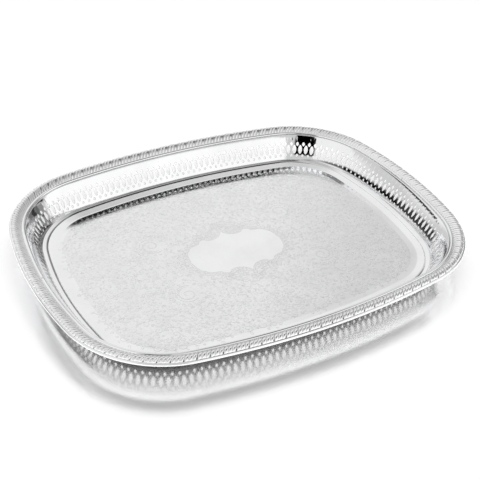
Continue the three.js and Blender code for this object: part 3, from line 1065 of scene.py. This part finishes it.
# The studio as the tray reflects it, all in degrees. Azimuth 0 is towards +Y and 90 towards +X.
# Each patch is (azimuth from, to, elevation from, to, brightness, softness of its edge, tilt),
# where the tilt is degrees of elevation for each degree of azimuth.
SURROUND = 0.64
PATCHES = [
    (-40, 46, 14, 60, 0.9, 9, 0),
    (38, 52, 12, 50, 0.74, 9, 0),
    (50, 86, 8, 34, 0.42, 6, 0),
    (20, 80, 50, 62, 0.45, 8, 0),
    (100, 184, -12, 46, 1.06, 6, 0),
    (-128, -58, 6, 66, 0.93, 10, 0),
    (-45, -28.5, 23.8, 31.4, 0.03, 2.5, -1.28),
    (-70, -45.5, -12, 12.0, 0.02, 2.5, -0.16),
    (50, 150, 60, 80, 0.42, 6, 0),
    (40, 110, 59, 71, 0.03, 3, 0),
    (63, 72, -5, 19, 0.17, 3, 0),
    (72, 80, -5, 22, 0.04, 3, 0),
    (80, 86, -5, 20, 0.13, 3, 0),
    (86, 95, -5, 20, 0.28, 3, 0),
    (82, 96, 22, 29, 0.03, 3, 0),
]
# The dark side of the studio, towards the camera. Only the dish shows it.
DARK_PATCH = (-162, -127, 21, 64, 0.0, 3, 0)

# Radii of the domes, then the table and the light thrown up from it, all in metres.
DISH_DOME, RIM_DOME, BACKDROP_DOME = 4.0, 4.2, 4.5
TABLE_HALF, TABLE_LEVEL = 6.0, -0.0002
TABLE_GLOSS, TABLE_ROUGHNESS = 0.72, 0.17
GLOW_HALF, GLOW_LEVEL, GLOW_BRIGHTNESS = 0.5, -0.0001, 0.2
OVERHEAD_PLACE, OVERHEAD_SIZE, OVERHEAD_POWER = (0.0, 0.15, 1.7), (2.6, 2.2), 60.0

# The camera looks at its target from a distance in metres. Its angles are in degrees.
CAMERA_AZIMUTH, CAMERA_ELEVATION, CAMERA_ROLL = -30.907, 35.692, 3.418
CAMERA_TARGET, CAMERA_DISTANCE, CAMERA_LENS = (0.008024, 0.010251, 0.0), 0.880, 67.95


def rim_glow(azimuth, elevation, patches=PATCHES):
    """Brightness of the studio in each direction."""
    value = np.full(azimuth.shape, SURROUND)
    for a0, a1, e0, e1, level, soft, tilt in patches:
        away = np.mod(azimuth - (a0 + a1) / 2 + 180, 360) - 180
        off = np.abs(away) - (a1 - a0) / 2
        up = np.abs(elevation - (e0 + e1) / 2 - tilt * away) - (e1 - e0) / 2
        inside = np.clip(0.5 - off / soft, 0, 1) * np.clip(0.5 - up / soft, 0, 1)
        value = value + (level - value) * inside
    return value


def dish_glow(azimuth, elevation):
    return rim_glow(azimuth, elevation, [*PATCHES, DARK_PATCH])


def even_glow(azimuth, elevation):
    return np.ones(azimuth.shape)


def glowing(name, points, faces, levels, receivers):
    """A surface that shows only as a glow in the receivers' reflections."""
    mesh = bpy.data.meshes.new(name)
    mesh.from_pydata(points, [], faces)
    layer = mesh.attributes.new("glow", "FLOAT", "POINT")
    layer.data.foreach_set("value", np.asarray(levels, np.float32))
    n = Nodes(name + "_glow")
    level = n.add("ShaderNodeAttribute", attribute_name="glow").outputs["Fac"]
    light = n.add("ShaderNodeEmission", {"Strength": level}).outputs[0]
    clear = n.add("ShaderNodeBsdfTransparent").outputs[0]
    n.surface(n.add("ShaderNodeAddShader", {0: light, 1: clear}).outputs[0])
    mesh.materials.append(n.material)
    obj = bpy.data.objects.new(name, mesh)
    for ray in ("camera", "diffuse", "shadow", "transmission"):
        setattr(obj, "visible_" + ray, False)
    SCENE.collection.objects.link(obj)
    group = bpy.data.collections.new(name + "_receivers")
    for receiver in receivers:
        group.objects.link(receiver)
    obj.light_linking.receiver_collection = group
    return obj


def dome(name, radius, glow_at, receivers, rows=150, columns=480):
    """A dome round the tray, from below the table's edge to overhead."""
    spans = np.linspace(-20, 90, rows), np.linspace(-180, 180, columns, endpoint=False)
    elevation, azimuth = np.meshgrid(*spans, indexing="ij")
    e, a = np.radians(elevation), np.radians(azimuth)
    x, y, z = np.sin(a) * np.cos(e), np.cos(a) * np.cos(e), np.sin(e)
    points = np.stack([x, y, z], -1).reshape(-1, 3) * radius
    levels = glow_at(azimuth, elevation).reshape(-1)
    return glowing(name, points.tolist(), grid_faces(rows, columns, True), levels, receivers)


def square(half, level):
    """Corners of a level square."""
    return [(half * x, half * y, level) for x, y in ((-1, -1), (1, -1), (1, 1), (-1, 1))]


def floor():
    """A glossy white table."""
    n = Nodes("floor_finish")
    speckle = n.ramp(n.noise(6.0, 3.0, 0.5), 0.3, 0.7)
    tone = n.mix(speckle, rgb(0.93, 0.93, 0.93), rgb(0.915, 0.917, 0.92))
    n.connect(Base_Color=tone, Roughness=0.5)
    sheen = {"Color": rgb(0.97, 0.97, 0.97), "Roughness": TABLE_ROUGHNESS}
    gloss = n.add("ShaderNodeBsdfGlossy", sheen).outputs[0]
    both = {0: TABLE_GLOSS, 1: n.shader.outputs[0], 2: gloss}
    n.surface(n.add("ShaderNodeMixShader", both).outputs[0])
    mesh = bpy.data.meshes.new("floor")
    mesh.from_pydata(square(TABLE_HALF, 0), [], [(0, 1, 2, 3)])
    mesh.materials.append(n.material)
    obj = bpy.data.objects.new("floor", mesh)
    obj.location.z = TABLE_LEVEL
    SCENE.collection.objects.link(obj)
    return obj


def world():
    """A black world: all the light comes from the domes, the table and the overhead light."""
    w = bpy.data.worlds.new("studio")
    w.use_nodes = True
    w.node_tree.nodes["Background"].inputs["Strength"].default_value = 0.0
    SCENE.world = w


def overhead():
    """A broad light over the tray that the silver doesn't mirror."""
    data = bpy.data.lights.new("overhead", "AREA")
    data.shape = "RECTANGLE"
    data.size, data.size_y = OVERHEAD_SIZE
    data.energy = OVERHEAD_POWER
    obj = bpy.data.objects.new("overhead", data)
    obj.location = OVERHEAD_PLACE
    obj.rotation_mode = "QUATERNION"
    obj.rotation_quaternion = (-Vector(OVERHEAD_PLACE)).to_track_quat("-Z", "Y")
    obj.visible_glossy = False
    SCENE.collection.objects.link(obj)


def camera():
    azimuth, elevation = math.radians(CAMERA_AZIMUTH), math.radians(CAMERA_ELEVATION)
    roll = math.radians(CAMERA_ROLL)
    ahead = math.cos(elevation)
    aim = (-math.sin(azimuth) * ahead, math.cos(azimuth) * ahead, -math.sin(elevation))
    forward = Vector(aim)
    right = Vector((math.cos(azimuth), math.sin(azimuth), 0))
    up = right.cross(forward)
    turned_right = right * math.cos(roll) + up * math.sin(roll)
    turned_up = up * math.cos(roll) - right * math.sin(roll)
    data = bpy.data.cameras.new("camera")
    data.lens = CAMERA_LENS
    data.sensor_width = 36.0
    data.clip_start = 0.05
    data.clip_end = 50
    obj = bpy.data.objects.new("camera", data)
    axes = Matrix((turned_right, turned_up, -forward)).transposed()
    place = Vector(CAMERA_TARGET) - forward * CAMERA_DISTANCE
    obj.matrix_world = Matrix.Translation(place) @ axes.to_4x4()
    SCENE.collection.objects.link(obj)
    SCENE.camera = obj


SCENE.view_settings.view_transform = "Standard"
tray = [obj for obj in SCENE.objects if obj.type == "MESH"]
table = floor()
rim = [obj for obj in tray if obj.name.startswith(("gadroon", "rolled_edge"))]
dish = [obj for obj in tray if obj not in rim]
pierced = [obj for obj in tray if obj.name.startswith("pierced")]
dome("studio", DISH_DOME, dish_glow, dish)
dome("rim_studio", RIM_DOME, rim_glow, rim)
# Light thrown up from the bright table on to the undersides of the rim and wall.
sheet = square(GLOW_HALF, GLOW_LEVEL)
glowing("table_glow", sheet, [(0, 1, 2, 3)], [GLOW_BRIGHTNESS] * 4, rim + pierced)
# White behind the tray from every side, which the table mirrors too.
dome("backdrop", BACKDROP_DOME, even_glow, [table], 20, 48).visible_camera = True
world()
overhead()
camera()
